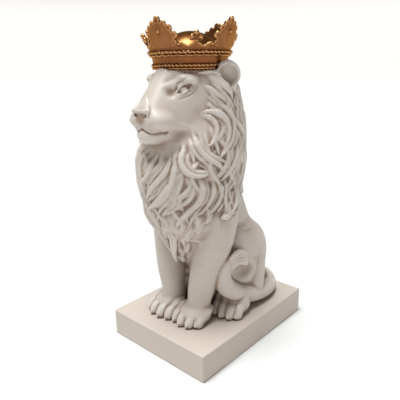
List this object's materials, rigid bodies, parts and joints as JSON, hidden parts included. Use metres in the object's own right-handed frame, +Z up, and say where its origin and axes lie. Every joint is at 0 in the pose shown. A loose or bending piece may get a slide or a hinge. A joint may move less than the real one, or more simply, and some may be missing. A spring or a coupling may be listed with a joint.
{
  "type": "lion figurine",
  "caption": "White resin figurine of a seated lion with a long wavy mane, on a rectangular plinth, wearing a gold crown with tall leaves",
  "frame": {"origin": "centre of the plinth's underside", "axes": "+Z up, the lion faces -Y, +X is the lion's left side"},
  "size_m": [0.14, 0.1938, 0.3499],
  "materials": {
    "white_resin": "satin gloss warm white resin",
    "gilt": "polished gold plating on resin"
  },
  "bodies": {
    "root": {"lion_on_plinth": "white_resin", "crown": "gilt"}
  },
  "joints": []
}
